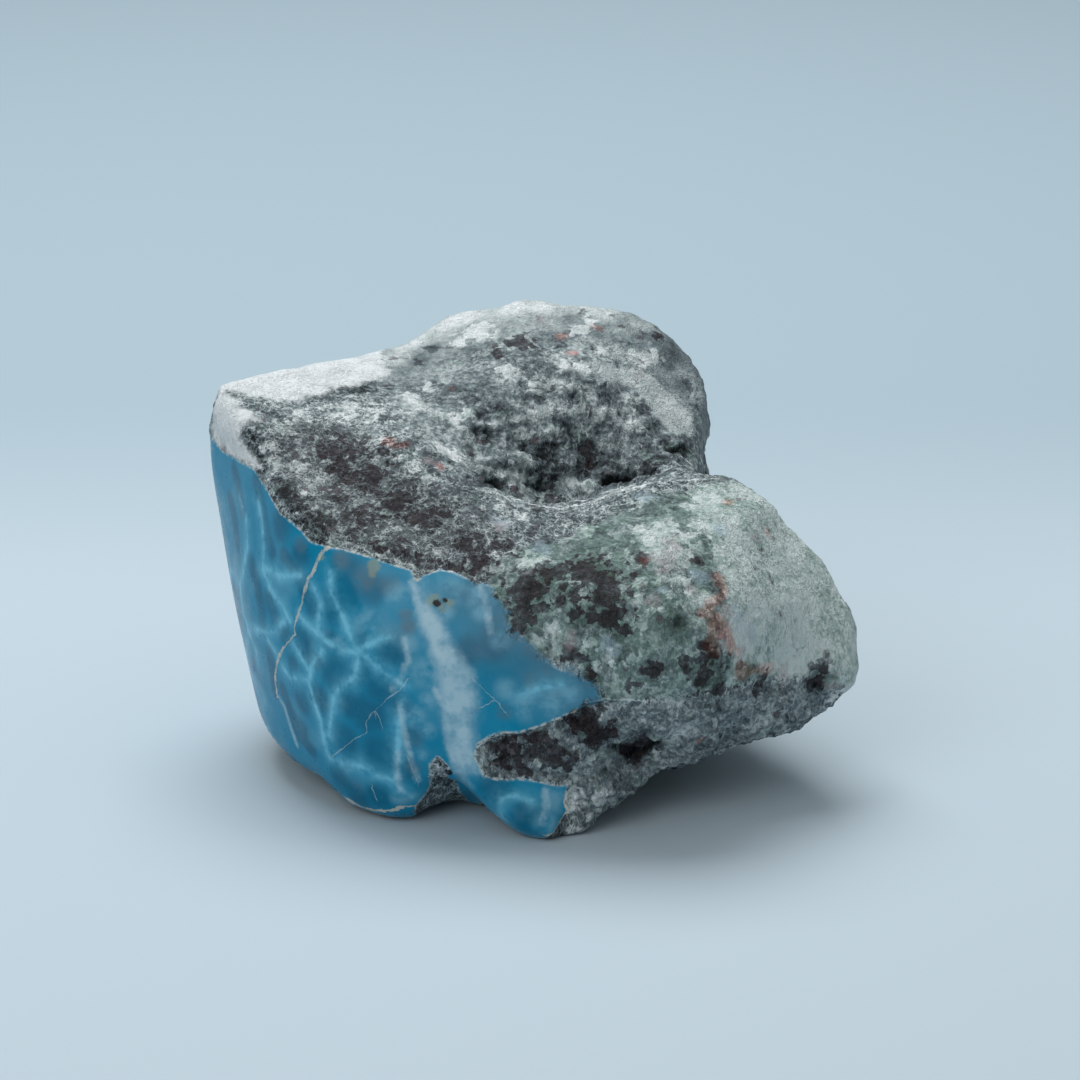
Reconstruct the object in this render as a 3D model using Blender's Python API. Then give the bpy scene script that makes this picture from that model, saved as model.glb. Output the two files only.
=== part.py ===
"""Rough larimar: one stone, with a polished blue face and a worn, broken lump of its host rock.

Metres, +Z up. The origin is under the middle of the stone, on the surface that it rests on, and the
polished face looks towards -Y. The stone is what its sides leave: each side is a smooth sheet drawn
through its landmarks, and the stone is all that lies inside every sheet, so the sheets meet in ridges.
Pits are sunk into that form, and lumps and chips are raised on it where the rock is worn or broken.
"""

import math

import bmesh
import bpy
import numpy as np
from mathutils import Vector, noise

MM = 0.001
NODE = "larimar_stone"

# The point inside the stone from which every landmark is seen, in millimetres
HEART = (0.0, 3.0, 18.0)
# Squares along each edge of the cube that is blown up into the stone
GRID = 28
# How far a landmark's pull reaches, in distances between directions of length one
REACH = 1.2
# How closely a sheet keeps to its landmarks: 0 passes through every one
SLACK = 0.0002
# Where a sheet goes far from its landmarks, in millimetres from the heart
OUTSIDE = 60.0
# How far past its own landmarks a sheet keeps to its course among those of other sides, in distances
# between directions of length one, and how hard it then turns outwards, in millimetres
OVERRUN = 0.12
FLARE = 300.0
# How much a ridge is worn off where two sheets meet, in millimetres
RIDGE_WEAR = 0.25
# How far round a landmark its roughness counts, in distances between directions of length one
RELIEF_REACH = 0.16

# Roughness of the three finishes: the height of the lumps, in millimetres
POLISHED = 0.0
WORN = 0.3
BROKEN = 1.1

# Sizes of the lumps and chips of the rock, in millimetres
LUMP = 7.0
CHIP = 3.6
# How many sizes of lumps there are, each half as large and half as high as the one before
LUMP_SIZES = 2
# How far a chip sinks at its cracks, as a share of its height
CRACK_DEPTH = 0.4
# Everything under this height is cut off, which leaves the flat that the stone rests on
REST_CUT = 0.0

# The sides of the stone, each with the groups of landmarks that its sheet runs through
SIDES = (
    ("polished face", (
        "left rim", "upper edge", "left side", "belly", "face beside the nose", "lower edge", "toe",
    )),
    ("top", (
        "upper edge", "ledge", "shelf", "far rim", "crest", "near rim", "scoop floor", "scoop wall",
        "lip", "rear lobe", "lobe right edge", "nose top edge",
    )),
    ("nose", (
        "face beside the nose", "nose top edge", "nose front", "nose side", "nose right edge",
        "undercut edge",
    )),
    ("undercut", ("undercut edge", "undercut", "lower edge of the nose")),
    ("polished back", ("far rim", "left rim", "polished back", "back ridge", "back foot")),
    ("broken back", (
        "back of the lobe", "lobe right edge", "back ridge", "broken back", "flank ridge", "back foot",
    )),
    ("right flank", ("nose right edge", "lobe right edge", "right flank", "flank ridge", "flank foot")),
    ("underside", (
        "lower edge", "toe foot", "lower edge of the nose", "flank foot", "back foot", "underside",
    )),
)

# Landmarks in millimetres: x to the right of the polished face, y into the stone, z up from its foot
LANDMARKS = {
    "left rim": (POLISHED, (
        (-40, 16, 44), (-41, 15, 39), (-40, 15, 31), (-38.5, 14, 22), (-36.5, 11, 13), (-35, 8, 7),
    )),
    "upper edge": (WORN, (
        (-36.5, 6, 43.5), (-33, 0, 39.5), (-30, -6, 36.5), (-25, -11, 34), (-20, -13, 33), (-14, -15, 31.5),
        (-7, -17, 31),
    )),
    "left side": (POLISHED, (
        (-38, 9, 35.5), (-35.5, 2, 29), (-32, -4, 29.5), (-35.5, 2, 19.5), (-32, -5, 20), (-32.5, -1, 10),
    )),
    "belly": (POLISHED, (
        (-27.5, -10, 29), (-22.5, -14.5, 25.5), (-26.5, -12, 16), (-16.5, -17, 26.5), (-10.5, -19, 24.5),
        (-18.5, -18, 17), (-12, -20, 15.5), (-20, -16, 8), (-26.5, -10, 8), (-12.5, -18, 8),
    )),
    "face beside the nose": (POLISHED, (
        (-4.5, -21, 21), (1, -22, 18), (-2, -20, 26),
    )),
    "lower edge": (WORN, (
        (-33.5, 3, 4.5), (-29.5, -4, 3.5), (-26.5, -8, 3), (-23.5, -11.5, 1.5), (-19, -14, 0.5),
        (-15, -15, 0.5), (-11, -13, 2.5),
    )),
    "toe": (POLISHED, (
        (-8, -18.5, 5), (-4, -21, 3), (1, -22.5, 2.5), (-4.5, -21.5, 7.5), (1, -22.5, 7.5), (5, -20.5, 2),
    )),
    "toe foot": (WORN, (
        (-7, -17, 0), (-3, -20.5, -1), (1, -22.5, -1), (4.5, -20.5, -0.5),
    )),
    "lower edge of the nose": (BROKEN, (
        (7.5, -18.5, 2.5), (11, -17, 4.5), (14.5, -16.5, 6.5), (19, -14, 8), (24, -11, 8.5), (29, -9, 9),
        (33.5, -6.5, 10), (37.5, -4, 12.5),
    )),
    "undercut": (BROKEN, (
        (-4.5, -21, 12), (3, -20.5, 10), (9.5, -19, 10.5), (17, -17.5, 11.5), (24, -14, 12),
        (30, -10.5, 12.5),
    )),
    "undercut edge": (BROKEN, (
        (-3, -22, 14.5), (4, -22.5, 15), (11, -22, 15.5), (18.5, -19.5, 15.5), (26, -15, 15), (32, -10, 15),
        (38, -5, 15.5),
    )),
    "nose front": (WORN, (
        (2, -22, 22), (7, -22.5, 18), (7, -22, 27), (14, -22, 29), (20, -19.5, 29), (14, -23, 22.5),
        (21.5, -20.5, 22.5), (2.5, -18, 31.5),
    )),
    "nose side": (WORN, (
        (28, -12.5, 21), (33.5, -7.5, 20), (27.5, -10.5, 27), (32.5, -4.5, 25.5), (28, -3, 31.5),
    )),
    "nose right edge": (WORN, (
        (38.5, -3, 17), (38.5, -2, 20), (36.5, 0, 25), (33.5, 2, 28.5), (30, 3, 31.5), (27.5, 4, 35),
    )),
    "nose top edge": (WORN, (
        (-7, -17, 31), (2, -15.5, 33), (9.5, -16, 33.5), (16.5, -13, 34.5), (22, -8, 34.5), (25.5, -1, 36),
        (24, 6, 36.5),
    )),
    "ledge": (WORN, (
        (-14, -10, 34.5), (-7, -11, 34), (2.5, -10, 34), (-22.5, -4, 37), (-14, -4, 37.5),
    )),
    "shelf": (WORN, (
        (-29, 14, 44), (-23, 15, 44), (-17, 19, 44.5), (-25.5, 6, 41.5), (-19, 5, 41.5), (-30, 4, 41),
    )),
    "far rim": (WORN, (
        (-39.5, 17, 46), (-35, 19, 46.5), (-30, 22, 46.5), (-25, 25, 46.5), (-19, 29, 47), (-15, 32, 48),
    )),
    "crest": (WORN, (
        (-17, 9, 42.5), (-12, 3, 40.5), (-9, -1, 38.5),
    )),
    "near rim": (WORN, (
        (-4, -4, 36.5), (0.5, -4, 35.5), (5, -4, 36), (9, -2, 37), (12, 0, 37.5), (15.5, 3, 37.5),
        (19.5, 6, 37), (9.5, -9, 35.5), (16.5, -4, 36.5), (22, 1, 36),
    )),
    "scoop floor": (BROKEN, (
        (-5, 4, 36), (0, 4, 33.5), (7.5, 6, 34), (12, 8, 35),
    )),
    "scoop wall": (BROKEN, (
        (-7.5, 12, 42), (-5, 10, 39.5), (2.5, 13, 38.5), (10, 15, 38), (16, 15, 37), (-1, 17, 43),
        (6, 18.5, 42.5), (12.5, 19.5, 41), (19, 15, 35), (21, 11, 35.5),
    )),
    "lip": (WORN, (
        (-11, 14, 43.5), (-7.5, 17, 44.5), (-2.5, 20, 46), (2.5, 21.5, 46.5), (7.5, 22.5, 46),
        (12, 23.5, 43), (15, 23, 41), (18, 21, 38),
    )),
    "rear lobe": (WORN, (
        (-11, 24, 46), (-5, 28, 48), (2.5, 30, 48), (8.5, 30, 48), (13.5, 29, 46), (16.5, 27, 43),
        (18.5, 25, 39.5), (16.5, 32, 47), (12.5, 33, 49), (7.5, 34, 50.5), (0, 35, 51),
        (-6, 34.5, 50), (-12, 33.5, 49),
    )),
    "back of the lobe": (BROKEN, (
        (-12, 35.5, 48.5), (-5, 37, 49.5), (4, 37, 49.5), (11, 36, 48.5), (16, 34.5, 47),
    )),
    "lobe right edge": (BROKEN, (
        (19, 32.5, 45), (20.5, 29.5, 42), (21, 26.5, 38.5), (20.5, 23, 35.5),
    )),
    "polished back": (POLISHED, (
        (-38, 23, 37), (-36, 24, 22), (-29, 30, 40), (-27, 32.5, 27), (-30, 27, 12), (-20, 35, 41),
        (-19, 36.5, 26), (-21, 34.5, 13),
    )),
    "back ridge": (BROKEN, (
        (-13, 36, 47.5), (-13.5, 38, 40), (-14, 39, 30), (-13, 38.5, 19), (-12, 36.5, 10),
    )),
    "broken back": (BROKEN, (
        (-3, 39.5, 41), (0, 41, 28), (-3, 39, 14), (9, 38, 38), (12, 37.5, 24), (12, 35, 12),
    )),
    "flank ridge": (BROKEN, (
        (22, 24.5, 30), (24, 24.5, 23), (25, 24, 17), (24, 22, 10),
    )),
    "right flank": (BROKEN, (
        (20.5, 17, 34.5), (23, 10, 35), (28, 9, 29), (33, 7, 22), (27, 17, 24), (30, 13, 15), (35.5, 3, 15),
    )),
    "flank foot": (BROKEN, (
        (22, 20, 5), (28, 13, 7.5), (33, 5, 9.5), (37.5, -2, 13),
    )),
    "back foot": (BROKEN, (
        (-34, 15, 4.5), (-29, 24, 4.5), (-20, 31, 4), (-10, 34.5, 4), (1, 36, 4), (11, 31.5, 3.5),
        (19, 25, 4.5),
    )),
    "underside": (BROKEN, (
        (-27, 16, 2), (-18, 25, 1.5), (-6, 29, 1), (7, 26, 1), (-20, 6, -1), (-8, -6, -1), (3, -12, -1),
        (-12, 18, -1), (0, 12, -1), (10, 6, -0.5), (17, 10, 2), (26, 4, 6.5), (18, -5, 4), (14, 18, 1.5),
    )),
}

# Pits in millimetres: where each one is sunk, how wide it is and how deep
PITS = (
    ("notch between the belly and the toe", (-11, -16, 4), 2.5, 2.5),
    ("hole under the nose", (12, -17, 9), 3.5, 2.5),
    ("hole at the right end of the scoop", (10, 5, 34.5), 3.5, 2.0),
    ("hollow under the lip", (14, 20, 39), 3.0, 2.0),
    ("hollow in the rear lobe", (15, 29.5, 42.5), 3.0, 1.5),
    ("dent in the nose beside the crack", (33, -7, 16), 2.5, 1.0),
)


def gather(names):
    """Directions of the named landmarks from the heart, their distances from it and their roughness."""
    points = []
    relief = []
    for name in names:
        roughness, group = LANDMARKS[name]
        points.extend(group)
        relief.extend([roughness] * len(group))
    arms = np.array(points, float) - HEART
    lengths = np.linalg.norm(arms, axis=1)
    return arms / lengths[:, None], lengths, np.array(relief)


def gaps_between(directions, others):
    """Distances between every direction and every other one, all of length one."""
    return np.linalg.norm(directions[:, None] - others[None], axis=2)


def pull(gaps):
    """How strongly a landmark's distance counts at a gap from it."""
    nearness = math.sqrt(3) * gaps / REACH
    return (1 + nearness) * np.exp(-nearness)


def sheet_distances(names, rays, nearest):
    """How far from the heart the sheet through the named landmarks crosses each ray.

    nearest is each ray's gap to the nearest landmark of any side.
    """
    directions, lengths, _ = gather(names)
    strength = pull(gaps_between(directions, directions))
    weights = np.linalg.solve(strength + SLACK * np.eye(len(lengths)), lengths - OUTSIDE)
    gaps = gaps_between(rays, directions)
    past = np.maximum(gaps.min(axis=1) - nearest - OVERRUN, 0.0)
    return OUTSIDE + pull(gaps) @ weights + FLARE * past ** 2


def cube_sphere():
    """A ball of evenly spread squares, as a bmesh."""
    ball = bmesh.new()
    bmesh.ops.create_cube(ball, size=2)
    bmesh.ops.subdivide_edges(ball, edges=ball.edges[:], cuts=GRID - 1, use_grid_fill=True)
    for vert in ball.verts:
        spread = [math.tan(math.pi / 4 * c) for c in vert.co]
        vert.co = Vector(spread).normalized()
    return ball


def draw_form(ball):
    """Moves the ball's surface out to the nearest sheet. Returns each vertex's roughness."""
    rays = np.array([vert.co for vert in ball.verts])
    directions, _, relief = gather(LANDMARKS)
    gaps = gaps_between(rays, directions)
    nearest = gaps.min(axis=1)
    left_over = np.zeros(len(rays))
    for _, names in SIDES:
        left_over += np.exp(-sheet_distances(names, rays, nearest) / RIDGE_WEAR)
    distances = -RIDGE_WEAR * np.log(left_over)
    share = np.exp((nearest[:, None] ** 2 - gaps ** 2) / RELIEF_REACH ** 2)
    roughness = (share @ relief) / share.sum(axis=1)
    for vert, ray, distance in zip(ball.verts, rays, distances):
        vert.co = Vector(ray * distance) + Vector(HEART)
    return roughness


def sink_pits(ball):
    """Presses each pit into the surface, towards the heart."""
    for _, place, width, depth in PITS:
        for vert in ball.verts:
            gap = (vert.co - Vector(place)).length / width
            inward = (Vector(HEART) - vert.co).normalized()
            vert.co += inward * depth * math.exp(-gap * gap)


def roughen(ball, roughness):
    """Raises lumps and sinks chips where the rock is worn or broken."""
    ball.normal_update()
    moved = []
    for vert, height in zip(ball.verts, roughness):
        lumps = noise.fractal(vert.co / LUMP, 1.0, 2.0, LUMP_SIZES)
        first, second = noise.voronoi(vert.co / CHIP)[0][:2]
        chips = second - first - CRACK_DEPTH
        moved.append(vert.co + vert.normal * height * (lumps + chips))
    for vert, place in zip(ball.verts, moved):
        vert.co = place


def rest_flat(ball):
    """Cuts the underside flat and sets the origin under the middle of the stone."""
    for vert in ball.verts:
        vert.co.z = max(vert.co.z, REST_CUT)
    corners = np.array([vert.co for vert in ball.verts])
    low = corners.min(axis=0)
    high = corners.max(axis=0)
    middle = (low + high) / 2
    bmesh.ops.translate(ball, verts=ball.verts[:], vec=(-middle[0], -middle[1], -low[2]))
    bmesh.ops.scale(ball, verts=ball.verts[:], vec=(MM, MM, MM))


def stone_material():
    """Grey-green host rock, with the colours' average over the whole stone."""
    material = bpy.data.materials.new("rough_larimar")
    material.use_nodes = True
    shader = material.node_tree.nodes["Principled BSDF"]
    shader.inputs["Base Color"].default_value = (0.21, 0.27, 0.29, 1.0)
    shader.inputs["Roughness"].default_value = 0.6
    return material


def build_stone():
    """The stone as one object, resting with its origin on the floor."""
    ball = cube_sphere()
    roughness = draw_form(ball)
    sink_pits(ball)
    roughen(ball, roughness)
    rest_flat(ball)
    mesh = bpy.data.meshes.new(NODE)
    ball.to_mesh(mesh)
    ball.free()
    mesh.shade_smooth()
    mesh.materials.append(stone_material())
    stone = bpy.data.objects.new(NODE, mesh)
    bpy.context.scene.collection.objects.link(stone)
    return stone


def main():
    for old in list(bpy.data.objects):
        bpy.data.objects.remove(old)
    build_stone()


main()
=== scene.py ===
"""Looks of the rough larimar: its polished blue face, veined and cracked, in a felted, broken host rock.

The stone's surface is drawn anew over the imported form, in finer squares, with the rock's grain raised on
it. Its marks are places on the stone as the camera sees them, thrown onto the form from the camera, and
kept on the surface as depths and distances that the material turns into colours with frayed edges.
"""

import math

import bmesh
import bpy
import numpy as np
from bpy.props import FloatProperty, FloatVectorProperty, IntProperty, PointerProperty
from mathutils import Euler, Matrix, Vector, noise
from mathutils.bvhtree import BVHTree


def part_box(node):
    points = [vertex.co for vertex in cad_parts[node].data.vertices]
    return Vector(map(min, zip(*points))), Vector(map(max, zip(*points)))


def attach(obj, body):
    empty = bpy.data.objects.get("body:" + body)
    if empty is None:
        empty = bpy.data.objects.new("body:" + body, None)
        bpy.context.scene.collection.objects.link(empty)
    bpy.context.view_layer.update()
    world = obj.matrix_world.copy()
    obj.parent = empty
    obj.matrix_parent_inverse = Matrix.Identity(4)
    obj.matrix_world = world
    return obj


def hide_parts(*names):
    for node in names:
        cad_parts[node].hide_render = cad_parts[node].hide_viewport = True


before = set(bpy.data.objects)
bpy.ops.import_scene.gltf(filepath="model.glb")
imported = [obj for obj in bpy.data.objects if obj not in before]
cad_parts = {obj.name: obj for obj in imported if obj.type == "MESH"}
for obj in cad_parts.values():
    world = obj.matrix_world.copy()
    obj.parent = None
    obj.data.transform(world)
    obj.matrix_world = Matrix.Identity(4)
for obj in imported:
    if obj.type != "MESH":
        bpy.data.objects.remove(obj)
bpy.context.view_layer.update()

bl_info = {
    "name": "Rough Larimar",
    "version": (1, 0, 0),
    "blender": (4, 5, 0),
    "location": "3D View > Sidebar > Larimar",
    "description": "A rough larimar with a polished blue face in its host rock",
    "category": "Add Mesh",
}

MM = 0.001
NODE = "larimar_stone"
# The point inside the stone that its surface is drawn round
HEART = Vector((1.1, -6.2, 18.0)) * MM

# The camera: what it looks at, from how far and how high, and its lens and film
VIEW_TARGET = Vector((1.1, -9.2, 30.7)) * MM
VIEW_DISTANCE = 0.6
VIEW_ELEVATION = math.radians(18)
LENS = 166.67
FILM = 36.0
# The picture is this many squares wide and high, and marks on it are (column, row) from its top left
PICTURE = 1080
SQUARES_PER_LENGTH = LENS / FILM * PICTURE

# The polished blue, clockwise as seen from the camera, from the top left of the face to the foot of the toe
BLUE_SEEN = (
    (211, 438), (224, 452), (240, 461), (253, 468), (262, 482), (270, 495), (280, 512), (290, 520),
    (302, 530), (311, 541), (328, 546), (345, 549), (360, 553), (385, 561), (400, 566), (412, 569),
    (416, 580), (428, 573), (440, 569), (452, 571), (465, 577), (480, 583), (492, 588), (500, 601),
    (506, 618), (510, 635), (522, 637), (530, 645), (540, 656), (556, 665), (572, 671), (590, 682),
    (602, 691), (601, 700), (585, 704), (575, 712), (556, 720), (540, 727), (520, 733), (500, 733),
    (490, 737), (478, 745), (475, 757), (485, 776), (500, 779), (520, 778), (540, 781), (558, 785),
    (569, 784), (566, 800), (570, 812), (560, 822), (550, 836), (540, 843), (518, 840), (503, 832),
    (488, 822), (478, 814), (468, 802), (460, 794), (454, 780), (448, 767), (438, 757), (431, 764),
    (431, 785), (425, 796), (416, 806),
)
# The rest of the polished blue, round the foot, left and back of the stone, in millimetres
BLUE_UNSEEN = (
    (-13.5, -23, 0.5), (-18, -22.5, 0.6), (-22.4, -20, 1.5), (-25.5, -16.5, 2.2), (-29, -12, 2.8),
    (-33, -5, 2.5), (-33, 3, 5.5), (-31, 10, 4), (-27, 16, 8), (-22, 22, 7), (-17, 25, 12),
    (-18, 27, 19), (-12, 29, 24), (-6, 30, 31), (-8, 29, 37), (-5, 28, 42), (-13, 26, 46), (-17.5, 21.5, 45.5), (-24, 17.5, 44.5), (-29, 15, 44.5),
    (-34, 11.5, 44), (-38, 9.5, 43.5), (-39.5, 7, 41.5),
)
# Where the blue fades into the rock without a rim
VEIL = (
    (480, 583), (492, 588), (500, 601), (506, 618), (510, 635), (522, 637), (530, 645), (540, 656),
    (556, 665), (572, 671), (590, 682), (602, 691), (601, 700), (585, 704),
)
# White vein through the blue, between the belly and the nose
WHITE_VEIN = (
    (413, 578), (422, 596), (436, 612), (446, 630), (455, 647), (463, 660), (473, 676), (477, 695),
    (474, 715), (475, 740), (478, 757), (486, 773), (470, 774), (455, 772), (449, 745), (444, 715),
    (441, 690), (436, 668), (429, 645), (422, 625), (417, 605), (412, 590),
)
# White crust along the far rim, from the top left corner: seen part, then over the edge in millimetres
WHITE_CAP_SEEN = (
    (219, 390), (231, 391), (257, 397), (283, 401), (312, 397), (331, 388), (357, 384), (380, 381),
    (388, 371),
)
WHITE_CAP_UNSEEN = (
    (-18, 21, 45.5), (-24, 17.5, 44), (-30, 14, 44), (-36, 11, 43.5), (-40, 8, 41),
)
# Cream corner between the crust and the blue
CREAM_CORNER = (
    (212, 438), (209, 425), (213, 404), (219, 390), (231, 392), (240, 405), (262, 420), (240, 424),
    (240, 438), (249, 452), (257, 466), (251, 467), (240, 461), (224, 452),
)
# Cream crack down the blue from the rock's lowest corner
CREAM_CRACK = (
    (332, 545), (322, 552), (318, 560), (315, 568), (308, 580), (303, 595), (301, 605), (298, 615),
    (294, 626), (295, 634), (290, 640), (283, 648), (278, 657), (276, 668), (275, 680), (277, 694),
)
# Cream rims along the foot of the belly and of the toe
FOOT_RIMS = (
    ((425, 798), (416, 806), (400, 809), (380, 812), (362, 808), (346, 800)),
    ((452, 782), (466, 802), (478, 814), (490, 823), (505, 833), (518, 840), (532, 843)),
    ((569, 786), (566, 800), (569, 812), (560, 822), (550, 836)),
)
# Fine white cracks in the blue
FINE_CRACKS = (
    ((407, 680), (400, 690), (388, 698), (380, 706), (370, 715), (366, 722), (367, 733), (355, 738),
     (347, 745), (338, 752), (330, 757)),
    ((472, 678), (484, 690), (492, 697), (498, 703), (506, 713)),
    ((468, 716), (480, 708), (492, 702)),
    ((376, 712), (380, 719), (382, 727)),
    ((407, 757), (413, 771), (418, 785)),
    ((372, 788), (376, 799)),
    ((277, 694), (284, 706), (290, 725), (297, 745)),
)
# Soft white wisps in the blue
WISPS = (
    ((412, 582), (415, 597), (421, 612), (427, 628), (433, 642), (440, 656), (450, 672)),
    ((447, 703), (446, 725), (448, 745), (453, 766)),
    ((404, 640), (408, 660), (402, 676), (392, 690)),
    ((435, 690), (440, 700), (447, 712)),
    ((475, 575), (482, 592), (488, 612), (490, 632)),
    ((277, 694), (284, 706), (290, 725), (297, 745)),
    ((545, 790), (547, 806), (542, 826)),
    ((400, 705), (404, 730), (410, 755), (418, 782)),
    ((398, 752), (396, 770), (400, 790)),
)
# Pale seams between the cells of the blue
CELL_SEAMS = (
    ((300, 617), (310, 627), (322, 637), (332, 645), (345, 651), (358, 652), (366, 657), (378, 667),
     (390, 677), (402, 685)),
    ((358, 652), (357, 662), (355, 675), (348, 683), (338, 690), (333, 700), (331, 715), (329, 735)),
    ((322, 650), (312, 665), (309, 680), (313, 700), (320, 720), (325, 745), (330, 757)),
    ((330, 757), (345, 764), (362, 767), (375, 775), (390, 780), (400, 788), (412, 798)),
    ((293, 643), (300, 655), (307, 668)),
    ((314, 588), (319, 605), (318, 630)),
    ((330, 572), (331, 592), (343, 618), (352, 640), (358, 652)),
    ((358, 650), (372, 642), (389, 636)),
    ((402, 700), (400, 720), (398, 740), (397, 762), (395, 780)),
    ((258, 500), (262, 528), (264, 545), (262, 568), (280, 576), (300, 575)),
    ((264, 570), (270, 590), (282, 605), (290, 622)),
    ((240, 498), (246, 520), (247, 545), (243, 570), (240, 598), (248, 630), (256, 650), (258, 680),
     (264, 700)),
    ((248, 630), (262, 632), (274, 632), (284, 622)),
    ((268, 640), (276, 654)),
    ((283, 668), (290, 678), (309, 680)),
    ((500, 800), (512, 795), (530, 800)),
    ((482, 806), (500, 800), (505, 822)),
    ((522, 696), (540, 688), (562, 684)),
)
# Deep teal cores of the cells: (column, row, radius)
TEAL_CORES = (
    (304, 644, 13), (293, 663, 9), (334, 606, 17), (313, 608, 10), (348, 594, 15), (372, 590, 14),
    (336, 672, 19), (380, 690, 17), (368, 714, 22), (352, 706, 16), (383, 752, 22), (302, 702, 13),
    (302, 730, 12), (356, 794, 16), (378, 796, 14), (411, 737, 12), (492, 645, 15),
    (495, 790, 17), (528, 816, 17), (280, 525, 16), (300, 555, 12), (392, 648, 19), (285, 635, 11),
    (360, 672, 15), (320, 700, 15), (345, 740, 17), (470, 650, 14), (400, 705, 13),
    (340, 780, 14), (345, 570, 16), (330, 640, 10), (405, 770, 12), (360, 640, 9),
)
# Streaks of deep teal down the left of the face
TEAL_STREAKS = (
    ((234, 470), (239, 490), (243, 512)),
    ((256, 482), (262, 505), (266, 530), (272, 552)),
    ((250, 560), (257, 585), (262, 610), (262, 628)),
    ((268, 598), (276, 620)),
    ((284, 556), (298, 572), (308, 600)),
    ((231, 500), (236, 530), (239, 562)),
    ((283, 690), (290, 710), (300, 735), (312, 750)),
    ((270, 650), (275, 690)),
    ((300, 636), (306, 655), (318, 662)),
)
# Milky patches in the blue: (column, row, radius)
MILKY_PATCHES = (
    (365, 622, 16), (340, 645, 9), (415, 716, 13), (425, 672, 18), (430, 584, 13), (452, 590, 15),
    (475, 596, 12), (481, 612, 10), (446, 612, 9), (528, 704, 18), (552, 704, 14), (506, 690, 12), (570, 694, 12), (500, 640, 10), (422, 755, 7),
    (399, 596, 14), (408, 645, 10), (556, 800, 15), (548, 826, 15), (466, 782, 10), (488, 596, 10),
    (428, 700, 10), (427, 730, 10), (400, 800, 10), (345, 765, 9),
)
# Smoky grey patches in the blue: (column, row, radius)
SMOKY_PATCHES = (
    (592, 690, 20), (574, 682, 18), (552, 668, 16), (530, 655, 16), (512, 640, 12), (502, 618, 9),
    (556, 690, 14), (530, 680, 12), (408, 626, 8), (300, 545, 8), (340, 560, 9),
    (365, 578, 12), (390, 585, 10), (492, 622, 8), (545, 690, 8), (505, 712, 8), (463, 780, 8),
    (405, 615, 7), (412, 765, 8),
)
# Spots of rock and stain in the blue: (column, row, radius)
OLIVE_SPOTS = (
    (434, 600, 6), (441, 608, 5), (449, 602, 5), (374, 565, 6), (372, 573, 4), (320, 557, 4),
)
# Stains and minerals of the rock: (column, row, radius)
# The dark spots are stains and minerals, and three under the white crust are painted shade
DARK_SPOTS_AND_SHADE = (
    (254, 450, 8), (261, 468, 6), (289, 492, 13), (280, 480, 8), (308, 518, 12), (318, 528, 11),
    (324, 537, 7), (300, 505, 10), (481, 415, 6), (540, 451, 9), (525, 447, 8),
   
    (498, 482, 9), (608, 480, 9), (626, 474, 9), (645, 470, 9), (678, 450, 10),
    (690, 385, 7), (698, 405, 8), (437, 604, 4), (445, 600, 3),
    (681, 623, 9), (684, 640, 5), (815, 684, 10), (815, 670, 7), (586, 728, 14), (604, 738, 12),
    (630, 752, 12), (650, 748, 9), (575, 716, 7), (440, 782, 7), (447, 772, 5), (630, 345, 6),
    (438, 763, 4), (712, 660, 7), (700, 682, 6), (592, 674, 6), (530, 596, 7), (706, 545, 5),
    (722, 538, 5), (676, 508, 5), (612, 615, 7), (575, 565, 7), (545, 578, 6), (760, 548, 4),
    (758, 505, 4), (770, 530, 4), (745, 530, 4), (592, 348, 5), (560, 347, 6), (535, 355, 6),
    # The last three spots on the next line are a painted shadow under the white crust
    (432, 348, 6), (420, 362, 6), (448, 424, 4), (340, 388, 6), (365, 389, 7), (390, 388, 6),
    (535, 588, 9), (545, 572, 8), (610, 575, 10), (600, 598, 8), (622, 566, 8), (640, 572, 8),
    (648, 585, 7), (252, 432, 8), (243, 430, 6), (450, 460, 4), (470, 478, 5), (400, 515, 5), (350, 535, 5),
)
BROWN_SPOTS = (
    (345, 456, 22), (335, 442, 12), (366, 476, 20), (392, 506, 15), (380, 452, 10), (530, 584, 20),
    (540, 598, 9), (516, 612, 7), (518, 623, 8), (580, 570, 22), (595, 578, 14), (574, 594, 9),
    (570, 562, 8), (610, 594, 16), (612, 612, 17), (618, 628, 9), (604, 622, 8), (566, 650, 10),
    (578, 660, 8), (590, 672, 9), (627, 575, 8), (655, 668, 10), (635, 685, 8), (697, 560, 5),
    (688, 664, 8), (712, 662, 13), (702, 682, 11), (718, 690, 8), (470, 545, 14), (430, 520, 16),
    (395, 545, 14), (512, 632, 5), (640, 560, 9), (505, 755, 14), (530, 752, 16), (555, 760, 14),
    (520, 768, 10), (600, 735, 16), (760, 684, 9), (820, 672, 12), (838, 690, 5), (560, 602, 9),
    (572, 616, 6), (500, 545, 10), (520, 552, 6), (585, 722, 16), (640, 745, 14), (360, 515, 14),
    (340, 500, 9), (450, 570, 10), (480, 560, 12), (550, 500, 9), (520, 498, 7), (590, 455, 9),
    (420, 560, 9), (520, 342, 14), (500, 352, 10), (660, 334, 8),
)
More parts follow.
